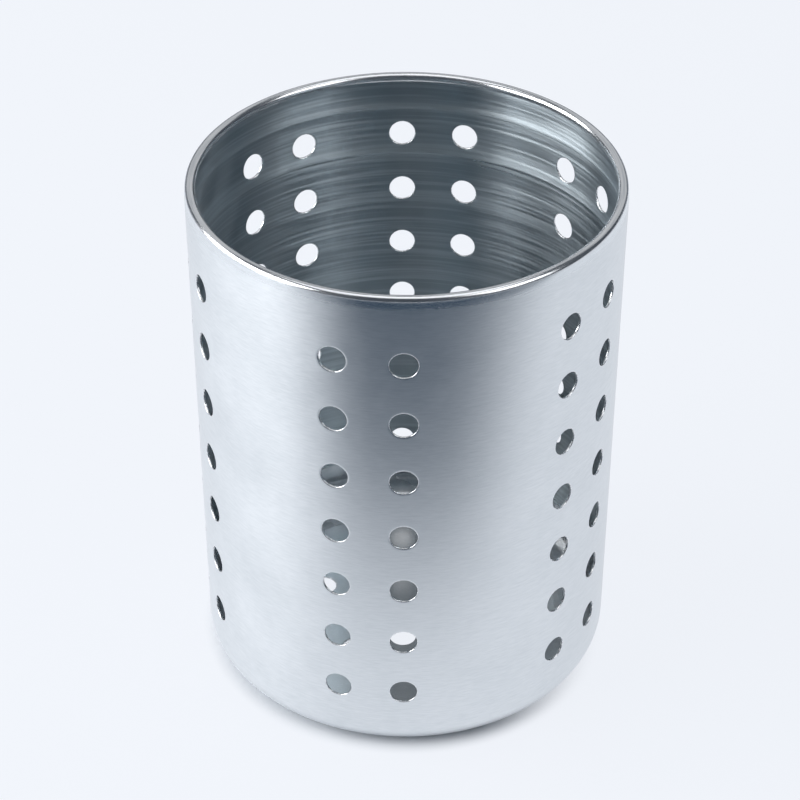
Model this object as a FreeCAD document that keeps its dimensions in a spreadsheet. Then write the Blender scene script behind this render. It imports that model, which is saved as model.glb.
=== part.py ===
import FreeCAD, Part
import math
import os

import Sketcher

# Driving dimensions of the cutlery holder, in millimetres.
dimensions = {
    "overall_height": 127.1,
    "wall_diameter": 97.8,
    "sheet_thickness": 0.5,
    "wire_diameter": 1.2,
    "curl_clearance": 0.05,
    "curl_gap": 0.12,
    "heel_radius": 6.9,
    "joggle_height": 1.0,
    "lap_length": 4.5,
    "lap_clearance": 0.05,
    "ring_width": 3.0,
    "slope_run": 1.5,
    "panel_rise": 0.4,
    "hole_diameter": 6.2,
    "hole_pitch": 15.35,
    "first_row_height": 18.3,
    "plain_band": 8.0,
    "drain_diameter": 6.4,
    "drain_pitch": 12.5,
    "drain_aside": 0.9,
    "drain_setback": 3.5,
    "cut_overrun": 2.0,
}

# The holes stand in pairs of columns. Each pair's middle is turned by this many
# degrees from -Y, towards +X.
pair_angles = (-9.55, 54.8, 120.5, 172.3, 219.4, 284.9)

# Drain holes stand on a square grid, turned by this many degrees about the axis.
drain_columns = 4
drain_rows = 3
drain_angle = 20.0

doc = FreeCAD.newDocument("CutleryHolder")
sheet = doc.addObject("Spreadsheet::Sheet", "Dimensions")
for line, (alias, number) in enumerate(dimensions.items(), start=1):
    sheet.set(f"A{line}", alias)
    sheet.set(f"B{line}", str(number))
    sheet.setAlias(f"B{line}", alias)
doc.recompute()


def size(alias):
    return f"Dimensions.{alias}"


def value(expression):
    return float(sheet.evalExpression(expression))


# Sheet and wall, shared by the wall and the base.
sheet_wall = size("sheet_thickness")
wall_outer = f"({size('wall_diameter')} / 2)"
wall_inner = f"({wall_outer} - {sheet_wall})"

# The bead: sheet curled inwards round the wire, flush with the wall outside.
wire_radius = f"({size('wire_diameter')} / 2)"
curl_inner = f"({wire_radius} + {size('curl_clearance')})"
curl_outer = f"({curl_inner} + {sheet_wall})"
curl_across = f"({wall_outer} - {curl_outer})"
curl_level = f"({size('overall_height')} - {curl_outer})"

# The seam: the wall's lower edge stands on the shoulder of the base.
heel = size("heel_radius")
seam_level = f"({heel} + {size('joggle_height')})"
flange_outer = f"({wall_inner} - {size('lap_clearance')})"
flange_inner = f"({flange_outer} - {sheet_wall})"
flange_top = f"({seam_level} + {size('lap_length')})"


def origin_plane(body, role):
    return next(item for item in body.Origin.OriginFeatures if item.Role == role)


def add_sketch(body, name, role):
    sketch = body.newObject("Sketcher::SketchObject", name)
    sketch.AttachmentSupport = [(origin_plane(body, role), "")]
    sketch.MapMode = "FlatFace"
    return sketch


def hold_point(sketch, edge, end, across, up):
    # Ties one point of an edge to its distances from the sketch's origin.
    for kind, axis, expression in (("DistanceX", -2, across), ("DistanceY", -1, up)):
        if expression == "0":
            sketch.addConstraint(Sketcher.Constraint("PointOnObject", edge, end, axis))
        else:
            rule = Sketcher.Constraint(kind, -1, 1, edge, end, value(expression))
            number = sketch.addConstraint(rule)
            sketch.setExpression(f"Constraints[{number}]", expression)


def hold_radius(sketch, edge, radius):
    number = sketch.addConstraint(Sketcher.Constraint("Radius", edge, value(radius)))
    sketch.setExpression(f"Constraints[{number}]", radius)


def add_arc(sketch, start, finish, centre, radius):
    middle = FreeCAD.Vector(value(centre[0]), value(centre[1]), 0)
    circle = Part.Circle(middle, FreeCAD.Vector(0, 0, 1), value(radius))
    first = math.atan2(start.y - middle.y, start.x - middle.x)
    last = math.atan2(finish.y - middle.y, finish.x - middle.x)
    if last < first:
        last += 2 * math.pi
    edge = sketch.addGeometry(Part.ArcOfCircle(circle, first, last))
    hold_radius(sketch, edge, radius)
    return edge


def draw_outline(sketch, corners, arcs):
    # A closed outline through the corners. An entry in arcs bends the side that leaves
    # that corner about a centre, to the left or to the right.
    points = [FreeCAD.Vector(value(across), value(up), 0) for across, up in corners]
    sides = []
    for number, start in enumerate(points):
        finish = points[(number + 1) % len(points)]
        if number not in arcs:
            sides.append((sketch.addGeometry(Part.LineSegment(start, finish)), 1, 2))
            continue
        centre, radius, turn = arcs[number]
        if turn == "left":
            sides.append((add_arc(sketch, start, finish, centre, radius), 1, 2))
        else:
            sides.append((add_arc(sketch, finish, start, centre, radius), 2, 1))
    for number, (edge, begin, end) in enumerate(sides):
        next_edge, next_begin, _ = sides[(number + 1) % len(sides)]
        joint = Sketcher.Constraint("Coincident", edge, end, next_edge, next_begin)
        sketch.addConstraint(joint)
        hold_point(sketch, edge, begin, *corners[number])


def add_circle(sketch, across, up, radius):
    middle = FreeCAD.Vector(value(across), value(up), 0)
    edge = sketch.addGeometry(Part.Circle(middle, FreeCAD.Vector(0, 0, 1), value(radius)))
    hold_radius(sketch, edge, radius)
    hold_point(sketch, edge, 3, across, up)


def revolve(body, sketch, name):
    turned = body.newObject("PartDesign::Revolution", name)
    turned.Profile = sketch
    turned.ReferenceAxis = (sketch, ["V_Axis"])
    turned.Angle = 360
    doc.recompute()
    return turned


def punch(body, sketch, name, depth):
    # Cuts along the sketch's normal, and stops if nothing was cut.
    before = body.Shape.Volume
    pocket = body.newObject("PartDesign::Pocket", name)
    pocket.Profile = sketch
    pocket.Reversed = True
    pocket.setExpression("Length", depth)
    doc.recompute()
    if not body.Shape.Volume < before:
        raise RuntimeError(f"{name} cut nothing")


# Perforated wall: the tube and its rolled top edge in one turned profile.
def make_wall():
    body = doc.addObject("PartDesign::Body", "PerforatedWall")
    body.Label = "perforated_wall"
    end_across = f"({curl_inner} - {size('curl_gap')})"
    end_drop = f"sqrt({curl_outer}^2 - {end_across}^2)"
    end_share = f"({curl_inner} / {curl_outer})"
    corners = [
        (wall_outer, seam_level),
        (wall_outer, curl_level),
        (f"{curl_across} + {end_across}", f"{curl_level} - {end_drop}"),
        (
            f"{curl_across} + {end_across} * {end_share}",
            f"{curl_level} - {end_drop} * {end_share}",
        ),
        (wall_inner, curl_level),
        (wall_inner, seam_level),
    ]
    curl_centre = (curl_across, curl_level)
    arcs = {1: (curl_centre, curl_outer, "left"), 3: (curl_centre, curl_inner, "right")}
    profile = add_sketch(body, "WallProfile", "XZ_Plane")
    draw_outline(profile, corners, arcs)
    revolve(body, profile, "WallTube")
    row_count = count_rows()
    for pair, pair_angle in enumerate(pair_angles, start=1):
        for side, half_share in (("Left", -0.5), ("Right", 0.5)):
            punch_column(body, f"Pair{pair}{side}", pair_angle, half_share, row_count)
    return body


def count_rows():
    # As many rows as fit under the plain band that the wall keeps below the bead.
    top_level = f"({curl_level} - {size('plain_band')} - {size('hole_diameter')} / 2)"
    steps = value(f"({top_level} - {size('first_row_height')}) / {size('hole_pitch')}")
    return math.floor(steps) + 1


def punch_column(body, name, pair_angle, half_share, row_count):
    # One column of holes, punched square to the wall. Two columns of a pair stand
    # as far apart round the wall as two rows do up it.
    column = add_sketch(body, f"{name}Holes", "XZ_Plane")
    upright = FreeCAD.Vector(0, 1, 0)
    pitch_degrees = f"({size('hole_pitch')} / {wall_outer} * 180 / pi)"
    turn = f"{pair_angle} + {half_share} * {pitch_degrees}"
    column.AttachmentOffset = FreeCAD.Placement(
        FreeCAD.Vector(0, 0, 0), FreeCAD.Rotation(upright, value(turn))
    )
    column.setExpression("AttachmentOffset.Rotation.Angle", turn)
    for row in range(row_count):
        level = f"{size('first_row_height')} + {row} * {size('hole_pitch')}"
        add_circle(column, "0", level, f"{size('hole_diameter')} / 2")
    punch(body, column, f"{name}Punch", f"{wall_outer} + {size('cut_overrun')}")


# Base pan: heel, standing ring and raised panel, with a stepped flange inside the wall.
def make_base():
    body = doc.addObject("PartDesign::Body", "BasePan")
    body.Label = "base_pan"
    rise = size("panel_rise")
    run = size("slope_run")
    ring_outer = f"({wall_outer} - {heel})"
    ring_inner = f"({ring_outer} - {size('ring_width')})"
    panel_edge = f"({ring_inner} - {run})"
    slope_shift = f"({sheet_wall} * (sqrt({run}^2 + {rise}^2) - {run}) / {rise})"
    corners = [
        ("0", rise),
        (panel_edge, rise),
        (ring_inner, "0"),
        (ring_outer, "0"),
        (wall_outer, heel),
        (wall_outer, seam_level),
        (flange_outer, seam_level),
        (flange_outer, flange_top),
        (flange_inner, flange_top),
        (flange_inner, seam_level),
        (wall_inner, heel),
        (ring_outer, sheet_wall),
        (f"{ring_inner} + {slope_shift}", sheet_wall),
        (f"{panel_edge} + {slope_shift}", f"{rise} + {sheet_wall}"),
        ("0", f"{rise} + {sheet_wall}"),
    ]
    heel_centre = (ring_outer, heel)
    arcs = {
        3: (heel_centre, heel, "left"),
        10: (heel_centre, f"{heel} - {sheet_wall}", "right"),
    }
    profile = add_sketch(body, "BaseProfile", "XZ_Plane")
    draw_outline(profile, corners, arcs)
    revolve(body, profile, "BaseDish")
    punch_drain(body, f"{rise} + {sheet_wall} + {size('cut_overrun')}")
    return body


def punch_drain(body, depth):
    # A square grid of drain holes, its middle a little off the axis.
    grid = add_sketch(body, "DrainHoles", "XY_Plane")
    turned = FreeCAD.Rotation(FreeCAD.Vector(0, 0, 1), drain_angle)
    aside = size("drain_aside")
    setback = size("drain_setback")
    middle = FreeCAD.Vector(value(aside), value(setback), 0)
    grid.AttachmentOffset = FreeCAD.Placement(middle, turned)
    grid.setExpression("AttachmentOffset.Base.x", aside)
    grid.setExpression("AttachmentOffset.Base.y", setback)
    pitch = size("drain_pitch")
    for column in range(drain_columns):
        column_share = column - (drain_columns - 1) / 2
        for row in range(drain_rows):
            row_share = row - (drain_rows - 1) / 2
            across = f"{column_share} * {pitch}" if column_share else "0"
            up = f"{row_share} * {pitch}" if row_share else "0"
            add_circle(grid, across, up, f"{size('drain_diameter')} / 2")
    punch(body, grid, "DrainPunch", depth)


# Rim wire: a ring that fills the curl.
def make_wire():
    ring = doc.addObject("Part::Torus", "RimWire")
    ring.Label = "rim_wire"
    ring.setExpression("Radius1", curl_across)
    ring.setExpression("Radius2", wire_radius)
    ring.setExpression("Placement.Base.z", curl_level)
    return ring


pieces = [make_wall(), make_base(), make_wire()]
doc.recompute()

for item in doc.Objects:
    if "Invalid" in item.State or "Error" in item.State:
        raise RuntimeError(f"{item.Label} failed: {item.State}")
for piece in pieces:
    if piece.Shape.isNull() or not piece.Shape.isValid():
        raise RuntimeError(f"{piece.Label} has no valid shape")
    if len(piece.Shape.Solids) != 1:
        raise RuntimeError(f"{piece.Label} is not one solid")

os.makedirs("parts", exist_ok=True)
for piece in pieces:
    piece.Shape.exportStep(f"parts/{piece.Label}.step")
    box = piece.Shape.BoundBox
    print(piece.Label, f"{piece.Shape.Volume:.1f} mm3", f"z {box.ZMin:.3f} to {box.ZMax:.3f}")
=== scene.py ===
import math

import bmesh
import bpy
from mathutils import Matrix, Vector


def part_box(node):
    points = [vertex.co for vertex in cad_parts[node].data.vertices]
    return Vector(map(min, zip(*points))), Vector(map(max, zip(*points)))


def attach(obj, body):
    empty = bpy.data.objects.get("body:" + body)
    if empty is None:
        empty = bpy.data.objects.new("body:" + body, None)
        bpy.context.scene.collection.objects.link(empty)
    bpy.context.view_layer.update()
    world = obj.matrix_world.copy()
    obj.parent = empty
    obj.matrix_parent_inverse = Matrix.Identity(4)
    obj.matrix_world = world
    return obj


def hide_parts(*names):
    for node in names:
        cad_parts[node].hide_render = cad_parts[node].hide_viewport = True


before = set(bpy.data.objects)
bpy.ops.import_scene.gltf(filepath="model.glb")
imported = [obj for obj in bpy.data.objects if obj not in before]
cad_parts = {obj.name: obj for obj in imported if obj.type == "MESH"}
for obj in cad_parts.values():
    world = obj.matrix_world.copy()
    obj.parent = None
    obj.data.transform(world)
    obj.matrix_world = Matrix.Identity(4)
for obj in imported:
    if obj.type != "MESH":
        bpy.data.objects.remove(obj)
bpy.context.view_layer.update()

mm = 0.001
fullTurn = 2 * math.pi

scene = bpy.context.scene
scene.view_settings.view_transform = "Standard"
scene.cycles.glossy_bounces = 12  # light goes to and fro inside the cup
scene.cycles.max_bounces = 16

wallLow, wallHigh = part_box("perforated_wall")
baseLow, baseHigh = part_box("base_pan")
print("frame loaded, cup is", round(wallHigh.z / mm, 1), "mm high")


# Node trees

class Value:
    # A socket that takes part in sums.
    def __init__(self, graph, socket):
        self.graph = graph
        self.socket = socket

    def math(self, operation, first, second):
        return self.graph.add("ShaderNodeMath", {"operation": operation}, {0: first, 1: second})

    def __add__(self, other):
        return self.math("ADD", self, other)

    def __radd__(self, other):
        return self.math("ADD", other, self)

    def __sub__(self, other):
        return self.math("SUBTRACT", self, other)

    def __rsub__(self, other):
        return self.math("SUBTRACT", other, self)

    def __mul__(self, other):
        return self.math("MULTIPLY", self, other)

    def __rmul__(self, other):
        return self.math("MULTIPLY", other, self)


class Graph:
    # The node tree of a material or of the world.
    def __init__(self, owner):
        owner.use_nodes = True
        self.owner = owner
        self.tree = owner.node_tree
        self.tree.nodes.clear()

    def add(self, kind, settings=None, inputs=None, output=0):
        node = self.tree.nodes.new(kind)
        for key, setting in (settings or {}).items():
            if key == "stops":
                self.setStops(node.color_ramp, setting)
            else:
                setattr(node, key, setting)
        for key, given in (inputs or {}).items():
            if isinstance(given, Value):
                self.tree.links.new(given.socket, node.inputs[key])
            else:
                node.inputs[key].default_value = given
        return Value(self, node.outputs[output]) if node.outputs else node

    def setStops(self, ramp, stops):
        while len(ramp.elements) < len(stops):
            ramp.elements.new(1.0)
        for element, (place, shade) in zip(ramp.elements, stops):
            element.position = place
            element.color = (shade, shade, shade, 1.0)

    def place(self):
        return self.add("ShaderNodeTexCoord", output="Object")

    def along(self, axis):
        return self.add("ShaderNodeSeparateXYZ", inputs={0: self.place()}, output=axis)

    def distance(self):
        # From the object's origin.
        settings = {"operation": "LENGTH"}
        return self.add("ShaderNodeVectorMath", settings, {0: self.place()}, output="Value")

    def bearing(self, across, ahead):
        # The angle to the side of straight ahead.
        return self.add("ShaderNodeMath", {"operation": "ARCTAN2"}, {0: across, 1: ahead})

    def fade(self, value, start, end):
        # 0 at the start, 1 at the end, smooth between.
        settings = {"interpolation_type": "SMOOTHSTEP"}
        # Sockets 1 and 2 are the two ends.
        return self.add("ShaderNodeMapRange", settings, {0: value, 1: start, 2: end})

    def noise(self, scale, detail=2.0, place=None):
        # Noise with its own number of waves per metre along X, Y and Z.
        stretch = {"Vector": place or self.place(), "Scale": scale}
        spread = self.add("ShaderNodeMapping", inputs=stretch)
        waves = {"Vector": spread, "Scale": 1.0, "Detail": detail}
        return self.add("ShaderNodeTexNoise", inputs=waves)

    def ramp(self, value, stops):
        return self.add("ShaderNodeValToRGB", {"stops": stops}, {"Fac": value})

    def blendColours(self, share, first, second):
        settings = {"data_type": "RGBA"}
        # Sockets 6 and 7 are the colours and output 2 is their blend.
        return self.add("ShaderNodeMix", settings, {0: share, 6: first, 7: second}, output=2)

    def blendShaders(self, share, first, second):
        return self.add("ShaderNodeMixShader", inputs={0: share, 1: first, 2: second})

    def bump(self, height, strength, distance):
        steps = {"Height": height, "Strength": strength, "Distance": distance}
        return self.add("ShaderNodeBump", inputs=steps)

    def surface(self, shader, kind="ShaderNodeOutputMaterial"):
        self.add(kind, inputs={"Surface": shader})
        return self.owner

    def seenDirectly(self):
        # 1 for rays from the camera and for rays that the metal or a clear layer passes on.
        path = "ShaderNodeLightPath"
        seen = self.add(path, output="Is Camera Ray")
        for ray in ("Is Glossy Ray", "Is Transmission Ray"):
            settings = {"operation": "MAXIMUM"}
            seen = self.add("ShaderNodeMath", settings, {0: seen, 1: self.add(path, output=ray)})
        return seen


# Steps that the draw left on the inside of the wall

stepDepth = 0.12 * mm
stepWidth = 0.3 * mm
stepSlack = 0.01 * mm  # keeps points on a step's edge within it
drawSteps = (
    {"top": 124.5 * mm, "edge": 117.3 * mm},
    {"top": 117.0 * mm, "edge": 104.95 * mm},
)


def drawnIn(height):
    # How far the inside skin lies in from the plain tube.
    for step in drawSteps:
        if step["edge"] - stepSlack < height < step["top"]:
            return stepDepth * ((step["top"] - height) / (step["top"] - step["edge"])) ** 2
    return 0.0


# Finishes, with lines, grain and clouds in waves per metre

brushedFinish = {
    "light": (0.80, 0.83, 0.855, 1.0),
    "dark": (0.70, 0.735, 0.76, 1.0),
    "roughness": 0.30,
    "roughnessSpread": 0.12,
    "anisotropy": 0.75,
    "fineLines": (420.0, 420.0, 3600.0),
    "longLines": (210.0, 210.0, 1700.0),
    "clouds": (55.0, 55.0, 60.0),
    "shadeShares": (0.45, 0.2, 0.35),
    "shadeStops": [(0.36, 0.0), (0.62, 1.0)],
    "wearShares": (0.5, 0.5),
    "bumpShares": (0.8, 0.2),
    "polishStart": 123.6 * mm,
    "polishFull": 126.6 * mm,
    "lineHeight": 0.003 * mm,
    "lineStrength": 0.4,
}

drawnFinish = {
    "light": (0.565, 0.635, 0.675, 1.0),
    "dark": (0.40, 0.457, 0.495, 1.0),
    "roughness": 0.37,
    "roughnessSpread": 0.22,
    "anisotropy": 0.93,
    "fineLines": (30.0, 30.0, 1250.0),
    "wideLines": (7.0, 7.0, 600.0),
    "clouds": (22.0, 22.0, 60.0),
    "shadeShares": (0.7, 0.18, 0.12),
    "shadeStops": [(0.45, 0.0), (0.63, 0.85)],
    "wearShares": (0.8, 0.2),
    "bumpShares": (0.75, 0.25),
    # Painted highlight, partly real burnish: how much lighter each step gets towards its lower
    # edge.
    "burnishAndHighlight": 0.75,
    "lineHeight": 0.018 * mm,
    "lineStrength": 0.8,
}

beadFinish = {
    "light": (0.82, 0.835, 0.855, 1.0),
    "dark": (0.64, 0.66, 0.69, 1.0),
    "roughness": 0.21,
    "roughnessSpread": 0.12,
    "anisotropy": 0.4,
    "lines": (2600.0, 2600.0, 5.0),
    "shadeStops": [(0.3, 0.0), (0.7, 1.0)],
    "lineHeight": 0.006 * mm,
    "lineStrength": 0.5,
}

edgeFinish = {
    "light": (0.86, 0.875, 0.89, 1.0),
    "dark": (0.62, 0.64, 0.665, 1.0),
    "roughness": 0.26,
    "roughnessSpread": 0.14,
    "grain": (1800.0, 1800.0, 1800.0),
    "shadeStops": [(0.35, 0.0), (0.6, 1.0)],
    "grainHeight": 0.01 * mm,
    "grainStrength": 0.4,
}

pressedFinish = {
    "light": (0.90, 0.915, 0.93, 1.0),
    "dark": (0.78, 0.80, 0.82, 1.0),
    "roughness": 0.22,
    "roughnessSpread": 0.14,
    "grain": (420.0, 420.0, 420.0),
    "clouds": (45.0, 45.0, 45.0),
    "shadeShares": (0.5, 0.5),
    "shadeStops": [(0.36, 0.0), (0.64, 1.0)],
    "grainHeight": 0.006 * mm,
    "grainStrength": 0.4,
}

# Painted shade: a darker, rougher copy of the pressed finish for the trough round the panel, low
# inside the cup.
heelFinish = {
    **pressedFinish,
    "light": (0.70, 0.72, 0.745, 1.0),
    "dark": (0.55, 0.575, 0.60, 1.0),
    "roughness": 0.29,
}

wireFinish = {
    "light": (0.62, 0.64, 0.66, 1.0),
    "dark": (0.46, 0.47, 0.49, 1.0),
    "roughness": 0.34,
    "roughnessSpread": 0.12,
    "lines": (3000.0, 3000.0, 5.0),
    "shadeStops": [(0.3, 0.0), (0.7, 1.0)],
    "lineHeight": 0.004 * mm,
    "lineStrength": 0.4,
}

crispDetail = 3.0
evenWear = 0.5  # leaves a finish as rough as it is set
anisotropyTurn = 0.25


def newGraph(name):
    return Graph(bpy.data.materials.new(name))


def mixLayers(layers, shares):
    # The sum of the layers, each by its share.
    total = layers[0] * shares[0]
    for layer, share in zip(layers[1:], shares[1:]):
        total = total + layer * share
    return total


def steel(graph, finish, shade, wear, normal):
    # Bare metal. Shade runs from the dark to the light tone, wear roughens it.
    colour = graph.blendColours(shade, finish["dark"], finish["light"])
    roughness = finish["roughness"] + (wear - evenWear) * finish["roughnessSpread"]
    inputs = {
        "Base Color": colour,
        "Metallic": 1.0,
        "Roughness": roughness,
        "Normal": normal,
        "Anisotropic": finish.get("anisotropy", 0.0),
        "Anisotropic Rotation": anisotropyTurn,
    }
    return graph.surface(graph.add("ShaderNodeBsdfPrincipled", inputs=inputs))


def brushedSteel(finish):
    graph = newGraph("brushed_steel")
    fine = graph.noise(finish["fineLines"], detail=crispDetail)
    long = graph.noise(finish["longLines"])
    clouds = graph.noise(finish["clouds"])
    shade = graph.ramp(mixLayers((fine, long, clouds), finish["shadeShares"]), finish["shadeStops"])
    # Rolling the rim polished the sheet below it.
    polished = graph.fade(graph.along("Z"), finish["polishStart"], finish["polishFull"])
    wear = mixLayers((fine, clouds), finish["wearShares"]) - polished
    lines = mixLayers((fine, long), finish["bumpShares"])
    normal = graph.bump(lines, finish["lineStrength"], finish["lineHeight"])
    return steel(graph, finish, shade, wear, normal)


def drawnSteel(finish):
    graph = newGraph("drawn_steel")
    fine = graph.noise(finish["fineLines"], detail=crispDetail)
    wide = graph.noise(finish["wideLines"], detail=crispDetail)
    clouds = graph.noise(finish["clouds"])
    shade = graph.ramp(mixLayers((fine, wide, clouds), finish["shadeShares"]), finish["shadeStops"])
    # Each step is painted lighter towards its lower edge: partly burnish left by the draw, partly a
    # painted highlight for light that the step's tilt catches.
    height = graph.along("Z")
    for step in drawSteps:
        end = step["edge"] - stepWidth
        middle = (step["top"] + step["edge"]) / 2
        burnishAndHighlightShare = graph.fade(height, middle, step["edge"]) * graph.fade(height, end, step["edge"])
        shade = shade + burnishAndHighlightShare * finish["burnishAndHighlight"]
    wear = mixLayers((shade, clouds), finish["wearShares"])
    lines = mixLayers((fine, wide), finish["bumpShares"])
    normal = graph.bump(lines, finish["lineStrength"], finish["lineHeight"])
    return steel(graph, finish, shade, wear, normal)


def linedSteel(name, finish):
    # Lines that follow the ring, with waves per metre out and up and per radian round it.
    graph = newGraph(name)
    across = graph.along("X")
    ahead = graph.along("Y") * -1.0
    square = across * across + ahead * ahead
    reach = graph.add("ShaderNodeMath", {"operation": "SQRT"}, {0: square})
    bearing = graph.bearing(across, ahead)
    ringed = graph.add("ShaderNodeCombineXYZ", inputs={0: reach, 1: graph.along("Z"), 2: bearing})
    lines = graph.noise(finish["lines"], place=ringed)
    shade = graph.ramp(lines, finish["shadeStops"])
    normal = graph.bump(lines, finish["lineStrength"], finish["lineHeight"])
    return steel(graph, finish, shade, lines, normal)


def shearedSteel(finish):
    graph = newGraph("sheared_edge")
    grain = graph.noise(finish["grain"])
    shade = graph.ramp(grain, finish["shadeStops"])
    normal = graph.bump(grain, finish["grainStrength"], finish["grainHeight"])
    return steel(graph, finish, shade, grain, normal)


def pressedSteel(name, finish):
    graph = newGraph(name)
    grain = graph.noise(finish["grain"], detail=crispDetail)
    clouds = graph.noise(finish["clouds"])
    shade = graph.ramp(mixLayers((grain, clouds), finish["shadeShares"]), finish["shadeStops"])
    normal = graph.bump(grain, finish["grainStrength"], finish["grainHeight"])
    return steel(graph, finish, shade, clouds, normal)


brushed = brushedSteel(brushedFinish)
drawn = drawnSteel(drawnFinish)
bead = linedSteel("polished_bead", beadFinish)
sheared = shearedSteel(edgeFinish)
pressed = pressedSteel("pressed_steel", pressedFinish)
# The heel finish is painted shade for the trough inside the cup.
shadedHeel = pressedSteel("shaded_heel", heelFinish)
wire = linedSteel("drawn_wire", wireFinish)
print("finishes made")


# Mesh helpers

outsideSkin, insideSkin, beadSkin, edgeSkin, heelSkin = range(5)
mergeDistance = 0.001 * mm
sharpAngle = math.radians(38)

# A square of sheet round a punched hole, in cells, and the hole's rounded lip.
punch = {
    "cells": 12,
    "holeCells": 8,
    "landing": 0.6 * mm,
    "rounding": 0.18 * mm,
    "roundSteps": 3,
}


def arcPoints(centre, radius, first, last, steps):
    # Points (across, up) on an arc, angles in degrees.
    points = []
    for step in range(steps + 1):
        angle = math.radians(first + (last - first) * step / steps)
        points.append((centre[0] + radius * math.cos(angle), centre[1] + radius * math.sin(angle)))
    return points


def weld(bm):
    bmesh.ops.remove_doubles(bm, verts=bm.verts[:], dist=mergeDistance)


def only(parts, kind):
    return [part for part in parts if isinstance(part, kind)]


def borderEdges(bm, test):
    return [edge for edge in bm.edges if edge.is_boundary and all(test(v.co) for v in edge.verts)]


def sweepLoop(bm, edges, profile, skin):
    # Carries a loop round the Z axis through the profile's points (radius, height).
    for radius, height in profile:
        made = bmesh.ops.extrude_edge_only(bm, edges=edges)["geom"]
        for v in only(made, bmesh.types.BMVert):
            outward = v.co.xy.normalized() * radius
            v.co = (outward.x, outward.y, height)
        for face in only(made, bmesh.types.BMFace):
            face.material_index = skin
        edges = [edge for edge in only(made, bmesh.types.BMEdge) if edge.is_boundary]
    return edges


def roundHole(loopVerts, radius):
    # Moves the square loop of a cut-out onto a circle, at even steps.
    for v in loopVerts:
        x, y = v.co.xy
        if abs(x) >= abs(y):
            angle = y / x * math.pi / 4 + (math.pi if x < 0 else 0.0)
        else:
            angle = math.pi / 2 - x / y * math.pi / 4 + (math.pi if y < 0 else 0.0)
        v.co.x = radius * math.cos(angle)
        v.co.y = radius * math.sin(angle)


def punchedTile(pitch, holeDiameter, sheet):
    # A flat square of sheet with one punched hole. The outer skin lies at height 0.
    cells = punch["cells"]
    rounding = punch["rounding"]
    holeRadius = holeDiameter / 2
    lip = holeRadius + rounding
    bm = bmesh.new()
    bmesh.ops.create_grid(bm, x_segments=cells, y_segments=cells, size=pitch / 2)
    reach = pitch / 2 * punch["holeCells"] / cells
    middle = [f for f in bm.faces if max(abs(c) for c in f.calc_center_median().xy) < reach]
    bmesh.ops.delete(bm, geom=middle, context="FACES")
    loop = borderEdges(bm, lambda co: max(abs(co.x), abs(co.y)) < reach + mergeDistance)
    roundHole({v for edge in loop for v in edge.verts}, holeRadius + punch["landing"])
    edges = sweepLoop(bm, loop, [(lip, 0.0)], outsideSkin)
    back = bmesh.ops.duplicate(bm, geom=bm.faces[:])["geom"]
    for face in only(back, bmesh.types.BMFace):
        face.material_index = insideSkin
    bmesh.ops.translate(bm, verts=only(back, bmesh.types.BMVert), vec=(0.0, 0.0, -sheet))
    front = arcPoints((lip, -rounding), rounding, 90, 180, punch["roundSteps"])[1:]
    rear = arcPoints((lip, rounding - sheet), rounding, 180, 270, punch["roundSteps"])
    sweepLoop(bm, edges, front + rear, edgeSkin)
    weld(bm)
    return bm


def stamp(bm, tile, place):
    # Adds a copy of the tile's mesh, moved by a matrix.
    mesh = bpy.data.meshes.new("stamp")
    tile.to_mesh(mesh)
    mesh.transform(place)
    bm.from_mesh(mesh)
    bpy.data.meshes.remove(mesh)


def makeObject(bm, name, materials):
    mesh = bpy.data.meshes.new(name)
    bm.to_mesh(mesh)
    bm.free()
    for material in materials:
        mesh.materials.append(material)
    made = bpy.data.objects.new(name, mesh)
    scene.collection.objects.link(made)
    return made


def finishPiece(bm, name, materials):
    weld(bm)
    bmesh.ops.recalc_face_normals(bm, faces=bm.faces[:])
    for face in bm.faces:
        face.smooth = True
    for edge in bm.edges:
        edge.smooth = edge.calc_face_angle(0.0) < sharpAngle
    piece = makeObject(bm, name, materials)
    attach(piece, "root")
    triangles = sum(len(polygon.vertices) - 2 for polygon in piece.data.polygons)
    print(name, "has", triangles, "triangles")
    return piece


# Perforated wall with its rolled rim

wall = {
    "sheet": 0.5 * mm,
    "curlOuter": 1.15 * mm,
    "curlGap": 0.12 * mm,
    "curlSteps": 20,
    "curlShift": 0.15 * mm,
    "easeAngle": 10.0,
    "easeSteps": 5,
    "drawRows": 5,
    "pitch": 15.35 * mm,
    "holeDiameter": 6.2 * mm,
    "firstRow": 18.3 * mm,
    "rows": 7,
    "pairAngles": (-9.55, 54.8, 120.5, 172.3, 219.4, 284.9),
}


def wrapRound(bm, radius):
    # Rolls the flat sheet into a tube. Angle 0 faces -Y and grows towards +X.
    for v in bm.verts:
        angle = v.co.x / radius
        reach = radius + v.co.z
        v.co = (reach * math.sin(angle), -reach * math.cos(angle), v.co.y)


def plainPanel(bm, left, right, low, high, columns, rows, sheet):
    # A strip of plain sheet between two pairs of hole columns: a unit grid for each skin, scaled.
    for height, skin in ((0.0, outsideSkin), (-sheet, insideSkin)):
        centre = Vector(((left + right) / 2, (low + high) / 2, height))
        spread = Matrix.Diagonal((right - left, high - low, 1.0, 1.0))
        made = bmesh.ops.create_grid(
            bm,
            x_segments=columns,
            y_segments=rows,
            size=0.5,
            matrix=Matrix.Translation(centre) @ spread,
        )
        for face in {f for v in made["verts"] for f in v.link_faces}:
            face.material_index = skin


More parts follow.
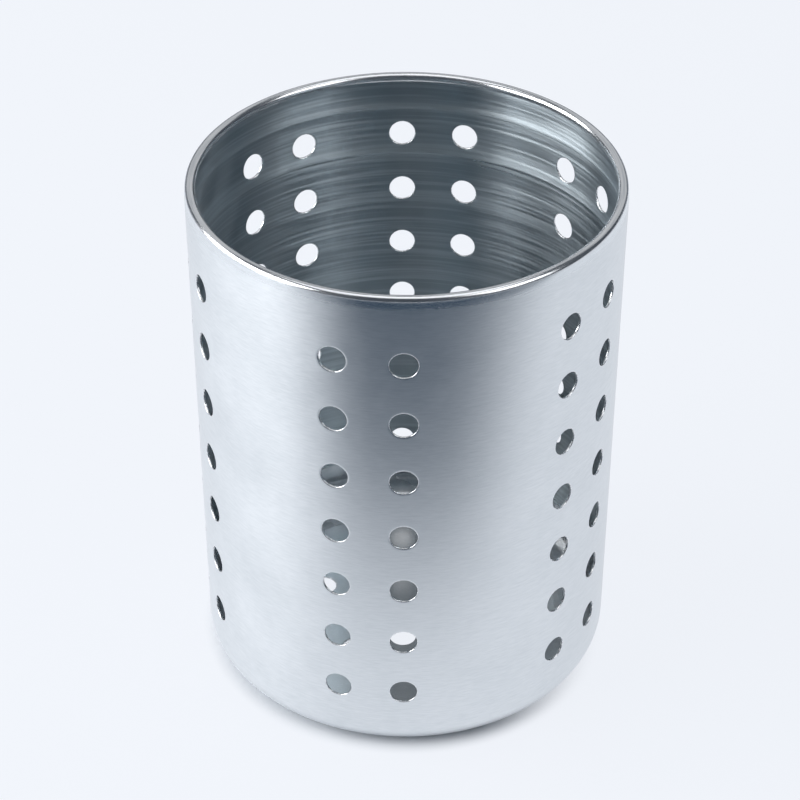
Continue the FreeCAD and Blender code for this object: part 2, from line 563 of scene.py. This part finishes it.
def makeWall():
    sheet = wall["sheet"]
    pitch = wall["pitch"]
    outer = wallHigh.x
    inner = outer - sheet
    cells = punch["cells"]
    low = wall["firstRow"] - pitch / 2
    high = low + wall["rows"] * pitch
    tile = punchedTile(pitch, wall["holeDiameter"], sheet)
    bm = bmesh.new()
    middles = [math.radians(angle) * outer for angle in wall["pairAngles"]]
    for middle in middles:
        for side in (-pitch / 2, pitch / 2):
            for row in range(wall["rows"]):
                centre = Vector((middle + side, wall["firstRow"] + row * pitch, 0.0))
                stamp(bm, tile, Matrix.Translation(centre))
    tile.free()
    following = middles[1:] + [middles[0] + fullTurn * outer]
    for middle, after in zip(middles, following):
        left, right = middle + pitch, after - pitch
        columns = round((right - left) / (pitch / cells))
        plainPanel(bm, left, right, low, high, columns, wall["rows"] * cells, sheet)
    wrapRound(bm, outer)
    weld(bm)

    # Draw steps: rows of edges for them, then the inside skin goes in.
    halfway = (outer + inner) / 2
    for step in drawSteps:
        for level in (step["edge"], step["edge"] - stepWidth):
            skin = [face for face in bm.faces if face.material_index == insideSkin]
            parts = dict.fromkeys(part for face in skin for part in face.verts[:] + face.edges[:])
            bmesh.ops.bisect_plane(
                bm,
                geom=skin + list(parts),
                dist=mergeDistance,
                plane_co=(0.0, 0.0, level),
                plane_no=(0.0, 0.0, 1.0),
            )
    for v in bm.verts:
        reach = v.co.xy.length
        if reach < halfway:
            v.co.xy *= 1 - drawnIn(v.co.z) / reach

    midHeight = (low + high) / 2
    topOuter = borderEdges(bm, lambda co: co.z > midHeight and co.xy.length > halfway)
    topInner = borderEdges(bm, lambda co: co.z > midHeight and co.xy.length < halfway)
    lowOuter = borderEdges(bm, lambda co: co.z < midHeight and co.xy.length > halfway)
    lowInner = borderEdges(bm, lambda co: co.z < midHeight and co.xy.length < halfway)

    # Rolled edge: both skins go up and round the curl, the outer one leaning in first.
    curlOuter = wall["curlOuter"]
    curlInner = curlOuter - sheet
    curl = (outer - curlOuter, wallHigh.z - curlOuter)
    endAngle = 360 - math.degrees(math.acos((curlInner - wall["curlGap"]) / curlOuter))
    shifted = (curl[0] - wall["curlShift"], curl[1])
    outerCurl = arcPoints(shifted, curlOuter, wall["easeAngle"], endAngle, wall["curlSteps"])
    innerCurl = arcPoints(curl, curlInner, 0, endAngle, wall["curlSteps"])
    lean = outer - outerCurl[0][0]
    leanRun = 2 * lean / math.tan(math.radians(wall["easeAngle"]))
    leanLow = outerCurl[0][1] - leanRun
    shares = [step / wall["easeSteps"] for step in range(wall["easeSteps"])]
    eased = [(outer - lean * share ** 2, leanLow + leanRun * share) for share in shares]
    topOuter = sweepLoop(bm, topOuter, eased + outerCurl[:1], outsideSkin)
    sweepLoop(bm, topOuter, outerCurl[1:] + innerCurl[-1:], beadSkin)
    rows = wall["drawRows"]
    levels = [high + (curl[1] - high) * row / rows for row in range(1, rows)]
    drawnUp = [(inner - drawnIn(level), level) for level in levels]
    sweepLoop(bm, topInner, drawnUp + innerCurl, insideSkin)

    # Lower edge: both skins go down to the seam with the base.
    sweepLoop(bm, lowOuter, [(outer, wallLow.z), (inner, wallLow.z)], outsideSkin)
    sweepLoop(bm, lowInner, [(inner, wallLow.z)], insideSkin)
    skins = [brushed, drawn, bead, sheared]
    piece = finishPiece(bm, "perforatedWall", skins)
    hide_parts("perforated_wall")


# Base pan with its drain holes

base = {
    "sheet": 0.5 * mm,
    "heelRadius": 6.9 * mm,
    "heelSteps": 12,
    "ringWidth": 3.0 * mm,
    "slopeRun": 1.5 * mm,
    "panelRise": 0.4 * mm,
    "lapClearance": 0.05 * mm,
    "drainPitch": 12.5 * mm,
    "drainDiameter": 6.4 * mm,
    "drainMiddle": (0.9 * mm, 3.5 * mm, 0.0),
    "drainColumns": 4,
    "drainRows": 3,
    "drainAngle": 20.0,
    "bendLand": 0.25 * mm,
}


def makeBase():
    sheet = base["sheet"]
    pitch = base["drainPitch"]
    heel = base["heelRadius"]
    outer = baseHigh.x
    inner = outer - sheet
    underside = base["panelRise"]
    topside = underside + sheet
    tile = punchedTile(pitch, base["drainDiameter"], sheet)
    turned = Matrix.Rotation(math.radians(base["drainAngle"]), 4, "Z")
    moved = Matrix.Translation(base["drainMiddle"])
    bm = bmesh.new()
    for column in range(base["drainColumns"]):
        for row in range(base["drainRows"]):
            across = (column - (base["drainColumns"] - 1) / 2) * pitch
            up = (row - (base["drainRows"] - 1) / 2) * pitch
            place = moved @ turned @ Matrix.Translation(Vector((across, up, topside)))
            stamp(bm, tile, place)
    tile.free()
    # The tile's outer skin lies inside the cup.
    swapped = {outsideSkin: insideSkin, insideSkin: outsideSkin}
    for face in bm.faces:
        face.material_index = swapped.get(face.material_index, face.material_index)
    weld(bm)
    halfway = (underside + topside) / 2
    upper = borderEdges(bm, lambda co: co.z > halfway)
    under = borderEdges(bm, lambda co: co.z < halfway)

    # Both skins: panel, slope, standing ring, heel, and up to the shoulder and flange.
    seam = wallLow.z
    ringOuter = outer - heel
    ringInner = ringOuter - base["ringWidth"]
    panelEdge = ringInner - base["slopeRun"]
    land = base["bendLand"]
    flangeOuter = inner - base["lapClearance"]
    flangeInner = flangeOuter - sheet
    floorLevel = baseLow.z
    heelCentre = (ringOuter, floorLevel + heel)
    outside = [
        (panelEdge - land, underside),
        (panelEdge, underside),
        (ringInner, floorLevel),
        (ringInner + land, floorLevel),
    ]
    outside += arcPoints(heelCentre, heel, -90, 0, base["heelSteps"])
    outside += [(outer, seam), (flangeOuter, seam)]
    outside += [(flangeOuter, baseHigh.z), (flangeInner, baseHigh.z)]
    slopeShift = sheet * (math.hypot(base["slopeRun"], underside) - base["slopeRun"]) / underside
    panel = [(panelEdge + slopeShift - land, topside), (panelEdge + slopeShift, topside)]
    inside = [
        (ringInner + slopeShift, floorLevel + sheet),
        (ringInner + slopeShift + land, floorLevel + sheet),
    ]
    inside += arcPoints(heelCentre, heel - sheet, -90, 0, base["heelSteps"])
    inside += [(flangeInner, seam), (flangeInner, baseHigh.z)]
    sweepLoop(bm, under, outside, outsideSkin)
    upper = sweepLoop(bm, upper, panel, insideSkin)
    # The trough round the panel takes the heel finish, painted darker as shade.
    sweepLoop(bm, upper, inside, heelSkin)
    skins = [brushed, pressed, bead, sheared, shadedHeel]
    piece = finishPiece(bm, "basePan", skins)
    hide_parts("base_pan")


makeWall()
makeBase()

# The rim wire keeps its own solid and takes a drawn finish.
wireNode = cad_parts["rim_wire"]
wireNode.data.materials.clear()
wireNode.data.materials.append(wire)
print("pieces made")


# Studio, in metres and watts

studio = {
    "floorSize": 6.0,
    "floorColour": (0.60, 0.625, 0.66, 1.0),
    "floorGlow": (0.90, 0.93, 0.985, 1.0),
    "glowShare": 0.92,
    "shadeInner": (0.034, 0.040),
    "shadeOuter": (0.0512, 0.0455),
    "shadeRight": (0.051, 0.016),
    "worldColour": (0.72, 0.84, 1.0, 1.0),
    "worldStrength": 0.10,
    "lampTarget": (0.0, 0.0, 0.06),
}

lamps = {
    "leftSoftbox": {"place": (-0.86, -0.12, 0.45), "size": (1.0, 0.65), "power": 14.2},
    "rightSoftbox": {"place": (0.68, -0.42, 0.70), "size": (0.6, 0.6), "power": 2.7},
    "topSoftbox": {"place": (0.0, 0.0, 1.10), "size": (1.0, 0.75), "power": 3.0},
    "backSoftbox": {"place": (0.0, 1.10, 0.85), "size": (2.6, 1.1), "power": 4.5},
}

# A painted dark sheet that only reflections see, standing in for unlit floor.
darkFront = {
    "start": 0.085,
    "full": 0.185,
    "leftFull": math.radians(-18),
    "leftNone": math.radians(-65),
    "rightFull": math.radians(16),
    "rightNone": math.radians(120),
    "backStart": 0.28,
    "backFull": 0.50,
    "reach": 1.2,
    "height": 0.001,
    "shade": (0.041, 0.068, 0.105, 1.0),
}


def addSheet(name, material, reach, height=0.0):
    # A flat square, out from the Z axis by its reach.
    bm = bmesh.new()
    raised = Matrix.Translation((0.0, 0.0, height))
    bmesh.ops.create_grid(bm, x_segments=1, y_segments=1, size=reach, matrix=raised)
    piece = makeObject(bm, name, [material])
    return piece


def aim(place, target):
    # The turn that points a lamp or the camera at its target.
    return (Vector(target) - Vector(place)).to_track_quat("-Z", "Y")


def makeFloor():
    graph = newGraph("studio_floor")
    matt = graph.add("ShaderNodeBsdfDiffuse", inputs={"Color": studio["floorColour"]})
    glow = graph.add("ShaderNodeEmission", inputs={"Color": studio["floorGlow"]})
    # Round the foot of the cup the floor shows its own shade, which fades to the right.
    # Elsewhere it goes white.
    reach = graph.distance()
    foot = graph.fade(reach, *studio["shadeInner"]) * graph.fade(reach, *studio["shadeOuter"])
    foot = foot * graph.fade(graph.along("X"), *studio["shadeRight"])
    share = graph.seenDirectly() * (1.0 - foot) * studio["glowShare"]
    material = graph.surface(graph.blendShaders(share, matt, glow))
    addSheet("studioFloor", material, studio["floorSize"] / 2)


def makeDarkFront():
    # A painted dark sheet for the unlit floor in front of the cup and far behind it, which only
    # reflections see.
    graph = newGraph("dark_front")
    across = graph.along("X")
    ahead = graph.along("Y") * -1.0
    bearing = graph.bearing(across, ahead)
    share = graph.fade(ahead, darkFront["start"], darkFront["full"])
    share = share * graph.fade(bearing, darkFront["leftNone"], darkFront["leftFull"])
    share = share * graph.fade(bearing, darkFront["rightNone"], darkFront["rightFull"])
    share = share + graph.fade(ahead, -darkFront["backStart"], -darkFront["backFull"])
    clear = graph.add("ShaderNodeBsdfTransparent")
    dark = graph.add("ShaderNodeEmission", inputs={"Color": darkFront["shade"]})
    material = graph.surface(graph.blendShaders(share, clear, dark))
    card = addSheet("darkFront", material, darkFront["reach"], darkFront["height"])
    card.visible_camera = False
    card.visible_diffuse = False
    card.visible_shadow = False


def makeWorld():
    scene.world = bpy.data.worlds.new("studioWorld")
    graph = Graph(scene.world)
    light = {"Color": studio["worldColour"], "Strength": studio["worldStrength"]}
    lit = graph.add("ShaderNodeBackground", inputs=light)
    white = graph.add("ShaderNodeBackground", inputs={"Color": studio["floorGlow"]})
    seen = graph.add("ShaderNodeLightPath", output="Is Camera Ray")
    graph.surface(graph.blendShaders(seen, lit, white), "ShaderNodeOutputWorld")


def makeLamps():
    for name, setting in lamps.items():
        data = bpy.data.lights.new(name, "AREA")
        data.shape = "RECTANGLE"
        data.size, data.size_y = setting["size"]
        data.energy = setting["power"]
        lamp = bpy.data.objects.new(name, data)
        lamp.location = setting["place"]
        lamp.rotation_euler = aim(setting["place"], studio["lampTarget"]).to_euler()
        scene.collection.objects.link(lamp)


camera = {
    "lens": 103.33,
    "sensor": 36.0,
    "place": (0.0, -0.4364, 0.38556),
    "target": (0.0, 0.0, 0.06076),
    "roll": math.radians(0.128),
    "shift": (-0.00766, 0.02249),
}


def makeCamera():
    data = bpy.data.cameras.new("photoCamera")
    data.lens = camera["lens"]
    data.sensor_width = camera["sensor"]
    data.shift_x, data.shift_y = camera["shift"]
    eye = bpy.data.objects.new("photoCamera", data)
    eye.location = camera["place"]
    level = aim(camera["place"], camera["target"]).to_matrix()
    eye.rotation_euler = (level @ Matrix.Rotation(camera["roll"], 3, "Z")).to_euler()
    scene.collection.objects.link(eye)
    scene.camera = eye


makeFloor()
makeDarkFront()
makeWorld()
makeLamps()
makeCamera()
print("studio made")
